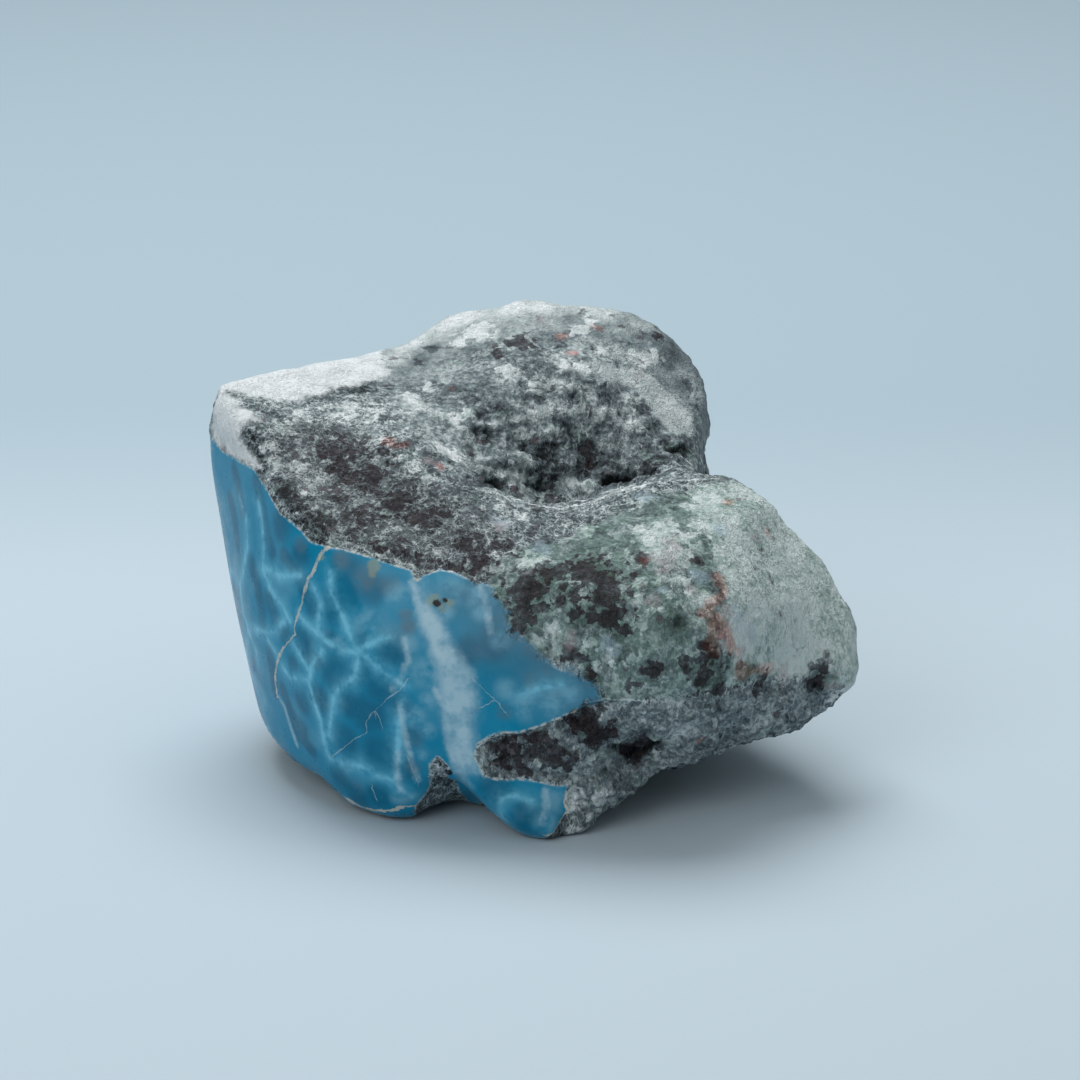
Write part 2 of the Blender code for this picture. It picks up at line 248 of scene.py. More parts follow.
CREAM_SPOTS = (
    (448, 450, 9), (440, 444, 5), (456, 458, 5), (669, 546, 26), (655, 534, 17), (640, 530, 11),
    (672, 522, 8), (676, 572, 16), (641, 622, 8), (632, 656, 5), (566, 672, 8), (592, 530, 8),
    (500, 570, 7), (530, 562, 13), (548, 556, 7), (600, 668, 8), (278, 462, 8), (286, 456, 6),
    (300, 466, 7), (306, 490, 8), (314, 506, 6), (262, 448, 5), (272, 444, 5), (398, 456, 6),
    (418, 466, 7), (410, 470, 8), (430, 480, 6), (630, 660, 6), (705, 600, 7), (738, 652, 8),
    (729, 686, 7), (790, 672, 9), (785, 600, 8), (690, 505, 7), (700, 526, 12), (540, 640, 7),
    (590, 642, 7), (575, 668, 6), (657, 752, 4), (576, 796, 8), (567, 806, 7), (575, 830, 6),
    (480, 332, 14), (460, 342, 10), (510, 372, 12), (532, 385, 9), (575, 330, 10), (590, 322, 8),
    (500, 368, 9), (760, 628, 8), (752, 604, 12), (744, 622, 12), (640, 505, 7), (640, 600, 6), (841, 690, 11), (832, 697, 8), (780, 655, 12), (700, 494, 14), (600, 800, 9),
    (350, 410, 16), (330, 412, 10), (370, 412, 12), (395, 413, 9), (415, 396, 10), (428, 388, 8),
    (630, 487, 8), (645, 485, 8), (655, 482, 6), (580, 500, 6), (720, 500, 8), (560, 366, 8),
    (580, 366, 9), (640, 360, 10), (655, 355, 9), (605, 350, 10), (508, 523, 5), (520, 515, 6),
    (455, 415, 9), (660, 610, 6), (560, 610, 5), (640, 582, 6), (610, 655, 6), (552, 628, 6),
    (500, 508, 5), (290, 432, 6), (300, 412, 7),
)
# Lighter and darker parts of the rock, without an edge, partly its own tone and partly painted light and painted
# shade: (column, row, radius)
PALE_AND_LIT_PATCHES = (
    (670, 542, 26), (485, 512, 22), (652, 640, 18), (840, 690, 12), (440, 782, 9), (448, 452, 16),
    (285, 466, 8), (682, 575, 14), (752, 636, 28), (796, 560, 28), (800, 640, 30), (560, 420, 14),
    (692, 620, 14), (604, 714, 14), (372, 432, 18), (478, 540, 12), (710, 600, 12), (420, 410, 18), (732, 622, 18), (736, 662, 14), (724, 642, 14),
    (560, 425, 22), (530, 440, 14), (480, 440, 12), (700, 600, 14), (680, 650, 12), (570, 474, 12), (800, 600, 24),
)
DEEP_AND_SHADED_PATCHES = (
    (600, 565, 20), (608, 600, 22), (615, 625, 16), (540, 580, 20), (528, 610, 12), (655, 335, 16),
    (672, 350, 18), (650, 415, 14), (668, 362, 13), (682, 386, 11), (248, 432, 8), (700, 495, 10),
    (540, 742, 24), (505, 752, 16), (600, 740, 22), (575, 722, 18), (712, 670, 18), (640, 750, 16),
    (254, 442, 14), (300, 500, 16), (318, 520, 14), (394, 508, 18), (625, 545, 18), (716, 516, 18),
    (650, 450, 14), (540, 545, 14), (350, 470, 18), (600, 530, 14), (284, 486, 14),
    (296, 502, 14), (310, 520, 12), (730, 500, 14), (745, 520, 10), (716, 540, 10), (632, 440, 12),
    (668, 440, 10), (258, 462, 12), (410, 520, 14), (465, 418, 9), (615, 445, 18),
    (500, 484, 10), (712, 535, 18), (738, 508, 18), (700, 488, 12), (385, 520, 12),
)
RED_SPOTS = (
    (452, 388, 4), (562, 336, 6), (597, 327, 6), (729, 502, 6), (767, 532, 5), (320, 560, 3),
    (642, 560, 4), (700, 740, 4), (440, 466, 5), (573, 352, 5), (719, 586, 5), (713, 645, 6),
    (733, 650, 4), (745, 672, 7), (768, 668, 4), (724, 634, 4),
)
# Red veins in the rock
RED_VEINS = (
    ((718, 578), (722, 590), (714, 603), (706, 612)),
    ((712, 604), (713, 622), (711, 645), (716, 655)),
    ((722, 626), (728, 640), (736, 652)),
    ((738, 668), (746, 674), (756, 669), (772, 667)),
    ((388, 440), (395, 444), (403, 443)),
)
PINK_SPOTS = (
    (440, 465, 7), (430, 460, 6), (543, 320, 6), (573, 352, 6), (668, 560, 14), (675, 545, 12),
    (728, 610, 8), (728, 640, 8), (742, 650, 7), (780, 672, 9), (832, 682, 8), (570, 640, 8),
    (655, 600, 6), (500, 525, 7), (640, 375, 5), (756, 540, 6), (690, 590, 7),
)
BLUISH_SPOTS = (
    (740, 618, 12), (752, 632, 8), (645, 498, 9), (664, 590, 6), (700, 575, 9), (720, 528, 8),
    (610, 645, 10), (540, 548, 10), (500, 520, 9),
)
GREEN_SPOTS = (
    (770, 580, 12), (760, 545, 12), (800, 640, 10), (830, 635, 12), (838, 655, 10), (775, 560, 9),
    (790, 615, 10), (595, 530, 12), (640, 580, 12), (650, 640, 12), (540, 606, 10), (552, 580, 8),
    (680, 685, 9), (660, 615, 12), (700, 512, 10), (630, 640, 9), (620, 560, 9), (500, 590, 8),
    (740, 520, 8), (810, 590, 12), (780, 650, 10),
)
# Pits in the rock, sunk, and painted black as painted shade in them: (column, row, radius)
SHADED_PITS = (
    (481, 415, 5), (681, 623, 7),
    (815, 684, 9), (440, 780, 7),
)
# Crevices in the rock, sunk, and painted black as painted shade in them
SHADED_CREVICES = (
    ((527, 447), (540, 452), (553, 450)),
    ((486, 478), (500, 483), (514, 480)),
    ((530, 484), (552, 486)),
    ((598, 486), (612, 479), (630, 474), (652, 470)),
    ((668, 450), (688, 449)),
    ((574, 722), (592, 727)),
    ((612, 748), (630, 754), (648, 751), (658, 741)),
)
# Parts of the rock with a look of their own, as seen from the camera. The back, the band and the nose's right side are
# also painted lighter as painted light, and the scoop darker as painted shade
NOSE_SEEN = (
    (846, 692), (806, 676), (740, 682), (700, 694), (602, 702), (602, 690), (572, 670), (540, 655),
    (522, 636), (510, 633), (500, 603), (492, 588), (500, 560), (522, 548), (560, 540), (600, 520),
    (650, 500), (700, 486), (722, 482), (753, 488),
)
NOSE_UNSEEN = (
    (28, 3, 28), (32, 0.5, 23), (35, -4, 14),
)
# The nose's right side: paler rock that is also painted lighter still, as painted light on the side the lamps leave
# darker
NOSE_SIDE_SEEN = (
    (846, 690), (826, 666), (806, 672), (770, 678), (744, 660), (730, 640), (726, 600), (718, 560),
    (704, 530), (690, 505), (700, 484), (740, 484), (762, 498),
)
# The scoop, a hollow in the broken rock, which is also painted darker as painted shade
SCOOP = (
    (462, 452), (478, 488), (505, 494), (540, 494), (580, 496), (604, 492), (640, 482), (666, 464),
    (694, 462), (692, 440), (672, 434), (655, 420), (642, 402), (628, 388), (604, 378), (585, 374),
    (560, 370), (530, 392), (500, 400), (470, 420),
)
# The back, which is also painted lighter than the rest of the rock as painted light
BACK_SEEN = (
    (700, 450), (694, 462), (640, 482), (560, 495), (478, 488), (455, 470), (430, 440), (400, 415),
    (375, 395), (388, 356),
)
BACK_UNSEEN = (
    (-16, 22, 47), (-7, 28, 49), (3, 29, 49), (12, 29, 46), (18, 27, 41), (22, 19, 38), (22, 13, 33),
)
DARK_GROUND = (
    (258, 438), (300, 420), (345, 425), (385, 450), (410, 470), (440, 490), (480, 505), (510, 535),
    (515, 560), (490, 582), (465, 575), (440, 568), (416, 572), (385, 560), (345, 548), (325, 540),
    (305, 515), (285, 490),
)
LIP = (
    (560, 361), (585, 364), (610, 364), (640, 371), (656, 381), (673, 396), (686, 411), (695, 426),
    (692, 436), (676, 434), (658, 420), (645, 402), (631, 387), (610, 377), (590, 373), (565, 370),
)
LOBE_SEEN = (
    (700, 444), (695, 424), (684, 408), (672, 394), (655, 378), (636, 362), (628, 340), (625, 318),
)
LOBE_UNSEEN = (
    (12, 29, 46), (18, 27, 41), (22, 19, 38), (22, 13, 33),
)
# The band low on the front; its rock is also painted lighter, as painted light bounced up from the floor
BAND = (
    (478, 747), (490, 738), (520, 734), (556, 722), (585, 706), (640, 700), (700, 694), (760, 684),
    (806, 680), (845, 694), (815, 714), (760, 739), (700, 758), (650, 778), (620, 802), (590, 818),
    (572, 812), (567, 785), (520, 779), (485, 776), (475, 758),
)
# Pale threads on the rock
PALE_THREADS = (
    ((480, 491), (500, 495), (520, 500), (540, 507), (560, 509), (580, 505), (600, 499), (620, 493),
     (640, 486), (656, 483)),
    ((604, 493), (640, 483), (670, 480), (700, 480), (716, 479)),
    ((330, 543), (338, 541), (350, 542), (365, 549), (380, 556), (395, 560), (410, 565)),
    ((326, 524), (330, 534), (329, 543)),
    ((484, 526), (489, 542), (497, 556)),
    ((580, 704), (600, 700), (625, 699), (650, 700)),
    ((724, 516), (734, 535), (744, 555), (754, 574), (764, 600), (772, 622)),
    ((478, 747), (490, 739), (500, 735)),
    ((486, 777), (502, 780), (520, 779), (542, 783), (558, 787)),
)
# Crest of the far rim behind the scoop
CREST = ((388, 356), (415, 340), (445, 322), (470, 312), (505, 306), (545, 303), (580, 304), (606, 312))


def tint(red, green, blue):
    """A colour picked on screen, from 0 to 255, as the linear colour that a material takes."""
    shares = (red / 255, green / 255, blue / 255)
    return tuple(((c + 0.055) / 1.055) ** 2.4 if c > 0.04 else c / 12.92 for c in shares)


def colour(name, description, red, green, blue):
    """A colour that the user can change."""
    return FloatVectorProperty(
        name=name, description=description, default=tint(red, green, blue),
        subtype="COLOR", size=3, min=0, max=1,
    )


def length(name, description, millimetres):
    """A length that the user can change."""
    return FloatProperty(
        name=name, description=description, default=millimetres * MM, min=0, unit="LENGTH", precision=5,
    )


def share(name, description, default):
    """A share from 0 to 1 that the user can change."""
    return FloatProperty(name=name, description=description, default=default, min=0, max=1, subtype="FACTOR")


class StoneSizes(bpy.types.PropertyGroup):
    """How the stone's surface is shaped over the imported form, and the sizes of its markings."""

    squares: IntProperty(
        name="Squares", description="Squares along each edge of the cube that is blown up into the stone",
        default=128, min=16, max=128,
    )
    near_side: share("Near side", "How much finer the squares are on the side that the camera sees", 0.15)
    soften: IntProperty(
        name="Softening", description="Rounds of smoothing over the whole stone", default=5, min=0, max=50,
    )
    polish: IntProperty(
        name="Polishing", description="Rounds of smoothing over the polished faces", default=25, min=0, max=200,
    )
    ledge: length("Ledge", "How far the rock lies back from the polish where they meet", 0.3)
    worn_relief: length("Worn relief", "Height of the worn rock's lumps", 0.3)
    broken_relief: length("Broken relief", "Height of the broken rock's lumps", 1.1)
    lump: length("Lumps", "Size of the rock's lumps", 3.0)
    chip: length("Chips", "Size of the rock's chips", 1.5)
    pit: length("Pits", "Depth of the pits and crevices in the rock", 0.9)
    crevice: length("Crevices", "Half the width of the crevices in the rock", 0.6)
    streak: length("Teal streaks", "Half the width of the teal streaks", 1.0)
    red_vein: length("Red veins", "Half the width of the red veins in the rock", 0.7)
    needle: length("Needles", "Space between the felted needles", 0.85)
    grain: length("Grains", "Size of the rock's mineral grains", 1.1)
    fold: length("Folds", "Size of the folds in the broken rock", 3.6)
    cell: length("Cells", "Size of the blue's cells where the camera doesn't see them", 7.5)
    seam: length("Seams", "Width of the pale seams between cells", 0.42)
    crack: length("Crack", "Width of the cream crack", 0.4)
    fine_crack: length("Fine cracks", "Width of the fine cracks", 0.15)
    # The rim where the blue meets the rock is partly cream, partly a painted highlight along the ledge there
    rim: length("Rim", "Width of the cream rim where the blue meets the rock", 0.4)
    foot_rim: length("Foot rim", "Width of the cream rims along the foot", 0.5)


class StoneColours(bpy.types.PropertyGroup):
    """Colours of the blue and of the rock."""

    core: colour("Core", "Deep teal in the middle of a cell", 0, 98, 130)
    blue: colour("Blue", "The body of the blue", 4, 130, 166)
    seam: colour("Seam", "Pale seams between cells", 122, 198, 224)
    milk: colour("Milk", "Milky patches and haze", 110, 168, 192)
    smoke: colour("Smoke", "Smoky patches in the blue", 78, 114, 132)
    vein: colour("Vein", "The white vein", 176, 206, 218)
    # The rim colour is also a painted highlight along the ledge where the blue meets the rock
    rim: colour("Rim", "Cream rim and crack", 200, 200, 190)
    olive: colour("Olive", "Olive stains in the blue", 146, 156, 132)
    black: colour("Black", "The darkest rock", 12, 16, 18)
    slate: colour("Slate", "Dark rock", 62, 70, 74)
    grey: colour("Grey", "The body of the rock", 114, 127, 131)
    bone: colour("Bone", "Pale needles and crystals", 180, 191, 191)
    white: colour("White", "The whitest crust", 222, 228, 230)
    brown: colour("Brown", "Brown rock", 70, 62, 66)
    green: colour("Green", "Grey-green rock", 130, 160, 144)
    rust: colour("Rust", "Red stains, where light", 208, 118, 98)
    lilac: colour("Lilac", "Pink and lilac grains", 176, 164, 168)
    sky: colour("Pale blue", "Pale blue grains", 158, 182, 194)


class StageLook(bpy.types.PropertyGroup):
    """The floor and the lights."""

    floor: colour("Floor", "The floor under the stone", 186, 202, 211)
    # The far floor is the floor painted darker behind the stone, as painted shade
    far: colour("Far floor", "The floor behind the stone", 165, 185, 195)
    overhead: FloatProperty(
        name="Overhead light", description="Power of the soft light above", default=4.1, min=0, unit="POWER",
    )
    fill: FloatProperty(
        name="Fill light", description="Power of the soft light from the front", default=1.5, min=0, unit="POWER",
    )
    sky: share("Sky", "Brightness of the light from all round", 0.3)


def view_axes():
    """The camera's right, up and forward directions."""
    right = Vector((1, 0, 0))
    forward = Vector((0, math.cos(VIEW_ELEVATION), -math.sin(VIEW_ELEVATION)))
    return right, right.cross(forward), forward


def camera_place():
    """Where the camera stands."""
    return VIEW_TARGET - VIEW_DISTANCE * view_axes()[2]


class Form:
    """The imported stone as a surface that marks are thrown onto."""

    def __init__(self, node):
        form = bmesh.new()
        form.from_mesh(node.data)
        bmesh.ops.remove_doubles(form, verts=form.verts[:], dist=0.01 * MM)
        self.tree = BVHTree.FromBMesh(form)
        form.free()

    def under(self, mark):
        """The place on the stone that the camera sees at a mark on the picture.

        A mark just outside the stone's outline is moved towards the picture's middle until it meets it.
        """
        right, up, forward = view_axes()
        for inward in range(PICTURE):
            across = (mark[0] - PICTURE / 2) * (1 - inward / PICTURE) / SQUARES_PER_LENGTH
            rise = (PICTURE / 2 - mark[1]) * (1 - inward / PICTURE) / SQUARES_PER_LENGTH
            ray = forward + right * across + up * rise
            hit = self.tree.ray_cast(camera_place(), ray.normalized())[0]
            if hit is not None:
                return hit
        raise RuntimeError(f"the mark at {mark} never meets the stone")

    def nearest(self, place):
        """The place on the stone nearest to a point in millimetres."""
        return self.tree.find_nearest(Vector(place) * MM)[0]

    def along(self, direction):
        """The place on the stone that lies in a direction from its heart."""
        return self.tree.ray_cast(HEART, direction)[0]


def segment_gaps(points, line, closed=False):
    """Each point's distance in millimetres to a line on the stone, the nearest place and its heading."""
    ends = np.array(line)
    starts = ends if closed else ends[:-1]
    stops = np.roll(ends, -1, axis=0) if closed else ends[1:]
    best = np.full(len(points), 1e9)
    nearest = np.zeros_like(points)
    heading = np.zeros_like(points)
    for start, stop in zip(starts, stops):
        run = stop - start
        size = max(run @ run, 1e-12)
        along = np.clip((points - start) @ run / size, 0, 1)
        place = start + along[:, None] * run
        gap = np.linalg.norm(points - place, axis=1)
        closer = gap < best
        best[closer] = gap[closer]
        nearest[closer] = place[closer]
        heading[closer] = run / math.sqrt(size)
    return best / MM, nearest, heading


def flattened(directions, middle):
    """Directions laid out on a plane round a middle one, at their true angles from it."""
    middle = middle / np.linalg.norm(middle)
    first = np.cross(middle, (0.0, 0.6, 0.8))
    first /= np.linalg.norm(first)
    second = np.cross(first, middle)
    height = directions @ middle / np.linalg.norm(directions, axis=1)
    flat = np.stack([directions @ first, directions @ second], axis=1)
    size = np.maximum(np.linalg.norm(flat, axis=1), 1e-12)
    return flat / size[:, None] * np.arccos(np.clip(height, -1, 1))[:, None]


def zone_depth(points, outline):
    """How deep each point lies inside a closed outline on the stone, in millimetres; outside is below 0."""
    heart = np.array(HEART)
    arms = np.array(outline) - heart
    middle = (arms / np.linalg.norm(arms, axis=1)[:, None]).mean(axis=0)
    flat = flattened(points - heart, middle)
    ring = flattened(arms, middle)
    inside = np.zeros(len(points), bool)
    for start, stop in zip(ring, np.roll(ring, -1, axis=0)):
        rise = stop[1] - start[1]
        if abs(rise) < 1e-12:
            continue
        crosses = (start[1] > flat[:, 1]) != (stop[1] > flat[:, 1])
        at = start[0] + (flat[:, 1] - start[1]) / rise * (stop[0] - start[0])
        inside ^= crosses & (flat[:, 0] < at)
    gaps = segment_gaps(points, outline, closed=True)[0]
    return np.where(inside, gaps, -gaps)


def line_sides(points, normals, lines):
    """Distance to the nearest of several lines with its side as its sign, and the same without it."""
    best = np.full(len(points), 1e9)
    signed = np.full(len(points), 1e9)
    for line in lines:
        gap, nearest, heading = segment_gaps(points, line)
        side = np.einsum("ij,ij->i", np.cross(heading, points - nearest), normals)
        closer = gap < best
        best[closer] = gap[closer]
        signed[closer] = np.where(side < 0, -gap, gap)[closer]
    return signed, best


def spot_cover(points, form, spots):
    """How deep each point lies in the nearest spot: 1 in its middle, 0 at its edge, -1 well outside it."""
    cover = np.full(len(points), -1.0)
    for column, row, radius in spots:
        place = np.array(form.under((column, row)))
        size = radius / SQUARES_PER_LENGTH * VIEW_DISTANCE
        cover = np.maximum(cover, 1 - np.linalg.norm(points - place, axis=1) / size)
    return cover


def blow_up(sizes, form):
    """A cube blown up into the stone, as a bmesh of squares that are finer on the camera's side."""
    ball = bmesh.new()
    bmesh.ops.create_cube(ball, size=2)
    bmesh.ops.subdivide_edges(ball, edges=ball.edges[:], cuts=sizes.squares - 1, use_grid_fill=True)
    lean = -view_axes()[2] * sizes.near_side
    for vert in ball.verts:
        spread = Vector([math.tan(math.pi / 4 * c) for c in vert.co])
        vert.co = form.along((spread.normalized() + lean).normalized())
    return ball


def places_of(ball):
    """The vertices' places and outward directions as arrays."""
    ball.normal_update()
    places = np.array([vert.co for vert in ball.verts])
    normals = np.array([vert.normal for vert in ball.verts])
    return places, normals


def marks_on(points, normals, form, sizes):
    """Depths and distances of every mark at every point, by name."""
    def thrown(marks):
        return [form.under(mark) for mark in marks]

    def laid(places):
        return [form.nearest(place) for place in places]

    zones = {
        "blue": thrown(BLUE_SEEN) + laid(BLUE_UNSEEN),
        "vein": thrown(WHITE_VEIN),
        "cap": thrown(WHITE_CAP_SEEN) + laid(WHITE_CAP_UNSEEN),
        "corner": thrown(CREAM_CORNER),
        "nose": thrown(NOSE_SEEN) + laid(NOSE_UNSEEN),
        "nose_side": thrown(NOSE_SIDE_SEEN) + laid(NOSE_UNSEEN),
        "scoop": thrown(SCOOP),
        "back": thrown(BACK_SEEN) + laid(BACK_UNSEEN),
        "dark_ground": thrown(DARK_GROUND),
        "lip": thrown(LIP),
        "lobe": thrown(LOBE_SEEN) + laid(LOBE_UNSEEN),
        "band": thrown(BAND),
    }
    spots = {
        "cores": TEAL_CORES, "milk": MILKY_PATCHES, "smoke": SMOKY_PATCHES, "olive": OLIVE_SPOTS,
        "dark_and_shade": DARK_SPOTS_AND_SHADE, "brown": BROWN_SPOTS, "cream": CREAM_SPOTS, "red": RED_SPOTS,
        "pink": PINK_SPOTS, "bluish": BLUISH_SPOTS, "green": GREEN_SPOTS, "pits": SHADED_PITS,
        "pale": PALE_AND_LIT_PATCHES, "deep": DEEP_AND_SHADED_PATCHES,
    }
    marks = {name: zone_depth(points, outline) for name, outline in zones.items()}
    marks.update({name: spot_cover(points, form, group) for name, group in spots.items()})
    for name, lines in (
        ("crack", [CREAM_CRACK]), ("fine", FINE_CRACKS), ("threads", PALE_THREADS), ("foot", FOOT_RIMS),
    ):
        marks[name], marks[name + "_gap"] = line_sides(points, normals, [thrown(line) for line in lines])
    for name, lines in (("seams", CELL_SEAMS), ("wisps", WISPS), ("crest", [CREST]), ("veil", [VEIL])):
        marks[name] = line_sides(points, normals, [thrown(line) for line in lines])[1]
    for name, lines, size in (
        ("pits", SHADED_CREVICES, sizes.crevice), ("cores", TEAL_STREAKS, sizes.streak), ("red", RED_VEINS, sizes.red_vein),
    ):
        gap = line_sides(points, normals, [thrown(line) for line in lines])[1]
        marks[name] = np.maximum(marks[name], 1 - gap * MM / size)
    to_camera = np.array(camera_place()) - points
    to_camera /= np.linalg.norm(to_camera, axis=1)[:, None]
    marks["facing"] = np.einsum("ij,ij->i", normals, to_camera)
    return marks


def smooth_step(values, low, high):
    """0 below low, 1 above high, and an even slope between them."""
    t = np.clip((values - low) / (high - low), 0, 1)
    return t * t * (3 - 2 * t)


def smooth(ball, chosen, rounds):
    """Smooths some vertices a number of times."""
    for _ in range(rounds):
        bmesh.ops.smooth_vert(
            ball, verts=chosen, factor=0.5, use_axis_x=True, use_axis_y=True, use_axis_z=True,
        )


def raise_relief(ball, sizes, marks):
    """Raises the rock's lumps and chips, sinks its pits and sets it back from the polish."""
    places, normals = places_of(ball)
    rock = smooth_step(-marks["blue"], 0.0, 0.6)
    crust = np.maximum(smooth_step(marks["cap"], -0.3, 0.5), smooth_step(marks["corner"], -0.3, 0.5))
    unseen = smooth_step(-marks["facing"], -0.15, 0.1)
    broken = np.maximum.reduce([
        smooth_step(marks["scoop"], -0.5, 1.0), 0.7 * smooth_step(marks["band"], -0.5, 0.8), 0.45 * unseen,
    ])
    worn = np.maximum.reduce([
        crust, 0.8 * smooth_step(-marks["crest"], -8, -1), 0.6 * smooth_step(marks["lobe"], -1, 1),
        0.7 * smooth_step(marks["nose_side"], -1, 1),
    ])
    height = (sizes.worn_relief + (sizes.broken_relief - sizes.worn_relief) * broken) * (1 - 0.75 * worn)
    resting = smooth_step(places[:, 2] / MM, 0.15, 1.5)
    sunk = sizes.pit * np.clip(marks["pits"], 0, 1)
    sunk += sizes.ledge * (1 - smooth_step(-marks["blue"], 0.5, 2.5))
    sunk -= 0.5 * sizes.worn_relief * smooth_step(-marks["threads_gap"], -0.5, -0.1)
    for index, vert in enumerate(ball.verts):
        hold = rock[index] * resting[index]
        if hold == 0:
            continue
        lumps = noise.fractal(vert.co / sizes.lump, 0.9, 2.1, 4)
        first, second = noise.voronoi(vert.co / sizes.chip)[0][:2]
        chips = min(second - first, 0.5) * 2 - 0.6
        rise = height[index] * (0.7 * lumps + 0.6 * chips) - sunk[index]
        vert.co += Vector(normals[index]) * rise * hold


def keep_in_box(ball):
    """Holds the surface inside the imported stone's box."""
    low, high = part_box(NODE)
    for vert in ball.verts:
        for axis in range(3):
            vert.co[axis] = min(max(vert.co[axis], low[axis]), high[axis])


class Wiring:
    """Adds nodes to a node tree and wires them up."""

    def __init__(self, tree):
        self.tree = tree

    def feed(self, socket, value):
        """Links another node's output to a socket, or sets the socket's plain value."""
        if isinstance(value, bpy.types.NodeSocket):
            self.tree.links.new(value, socket)
        else:
            socket.default_value = value

    def node(self, kind, inputs=(), **settings):
        """A node with its settings, fed by input name or number."""
        made = self.tree.nodes.new(kind)
        for key, value in settings.items():
            setattr(made, key, value)
        for key, value in dict(inputs).items():
            self.feed(made.inputs[key], value)
        return made

    def place(self, group, **inputs):
        """The outputs of a node group placed with its own values."""
        made = self.node("ShaderNodeGroup", node_tree=group)
        for key, value in inputs.items():
            self.feed(made.inputs[key.capitalize()], value)
        return made.outputs

    def sum(self, operation, *values):
        """The result of a Math node."""
        return self.node("ShaderNodeMath", enumerate(values), operation=operation).outputs[0]

    def times(self, *values):
        """Values multiplied together."""
        result = values[0]
        for value in values[1:]:
            result = self.sum("MULTIPLY", result, value)
        return result

    def blend(self, amount, under, over, how="MIX"):
        """One colour laid over another."""
        inputs = {0: amount, 6: opaque(under), 7: opaque(over)}
        return self.node("ShaderNodeMix", inputs, data_type="RGBA", blend_type=how).outputs[2]

    def between(self, amount, low, high):
        """A value part of the way from low to high."""
        return self.node("ShaderNodeMix", {0: amount, 2: low, 3: high}, data_type="FLOAT").outputs[0]

    def rise(self, value, low, high, start=0.0, end=1.0):
        """A value that goes smoothly from start to end as another goes from low to high."""
        inputs = {0: value, 1: low, 2: high, 3: start, 4: end}
        return self.node("ShaderNodeMapRange", inputs, interpolation_type="SMOOTHSTEP").outputs[0]

    def sway(self, value, middle, amount, base):
        """A base moved up and down by how far a value is from its middle."""
        return self.sum("MULTIPLY_ADD", self.sum("SUBTRACT", value, middle), amount, base)

    def clouds(self, where, scale, detail=2.0, roughness=0.5):
        """Cloudy noise: its value, and three more kinds of it as a colour's channels."""
        inputs = {"Vector": where, "Scale": scale, "Detail": detail, "Roughness": roughness}
        return self.node("ShaderNodeTexNoise", inputs).outputs

    def channels(self, shade):
        """A colour's three channels."""
        return self.node("ShaderNodeSeparateColor", {0: shade}).outputs

    def vectors(self, operation, *values, **settings):
        """The result of a Vector Math node."""
        return self.node("ShaderNodeVectorMath", enumerate(values), operation=operation, **settings).outputs[0]

    def bent(self, where, shade, reach):
        """A place moved by a noise colour, as far as a reach in metres."""
        shift = self.vectors("SUBTRACT", shade, (0.5, 0.5, 0.5))
        return self.vectors("MULTIPLY_ADD", shift, (reach, reach, reach), where)

    def mark(self, name):
        """A mark that the surface carries."""
        return self.node("ShaderNodeAttribute", attribute_name=name).outputs["Fac"]

    def ramp(self, value, stops):
        """Colours along a value, from (place, colour) pairs."""
        made = self.node("ShaderNodeValToRGB", {0: value})
        elements = made.color_ramp.elements
        while len(elements) < len(stops):
            elements.new(0.5)
        for element, (place, shade) in zip(elements, stops):
            element.position = place
            element.color = opaque(shade)
        return made.outputs[0]


def opaque(shade):
    """A colour with an alpha of 1; sockets pass through."""
    if isinstance(shade, bpy.types.NodeSocket):
        return shade
    return (*tuple(shade)[:3], 1.0)


def new_group(name, inputs, outputs):
    """An empty node group with named sockets: its tree, what it is given and what it puts out."""
    tree = bpy.data.node_groups.new(name, "ShaderNodeTree")
    for label, default in inputs:
        kind = "NodeSocketVector" if default is None else "NodeSocketFloat"
        socket = tree.interface.new_socket(label, in_out="INPUT", socket_type=kind)
        if default is not None:
            socket.default_value = default
    for label in outputs:
        tree.interface.new_socket(label, in_out="OUTPUT", socket_type="NodeSocketFloat")
    return tree, tree.nodes.new("NodeGroupInput").outputs, tree.nodes.new("NodeGroupOutput").inputs


def frayed_edge():
    """Group that turns a depth inside a mark into a mask whose edge is frayed."""
    tree, given, out = new_group("frayed edge", [
        ("Depth", 0.0), ("Coarse", 0.5), ("Fine", 0.5), ("Fray", 0.5), ("Softness", 0.1),
    ], ["Mask"])
    wire = Wiring(tree)
    swing = wire.sway(given["Coarse"], 0.5, 3.0, 0.0)
    swing = wire.sway(given["Fine"], 0.5, 1.8, swing)
    depth = wire.sum("MULTIPLY_ADD", swing, given["Fray"], given["Depth"])
    tree.links.new(wire.rise(wire.sum("DIVIDE", depth, given["Softness"]), -1.0, 1.0), out["Mask"])
    return tree


# Turns of the layers of needles; the needles of each layer lie along its own turned Z axis
NEEDLE_TURNS = ((1.3, 0.3, 0.2), (1.2, -0.3, 1.3), (1.7, 0.5, 2.4), (0.3, 0.5, 0.0))
# How much a needle is longer than it is wide
NEEDLE_STRETCH = 3.0
# How the folds of the broken rock are squeezed along X, Y and Z
FOLD_SQUEEZE = (0.7, 0.9, 1.6)


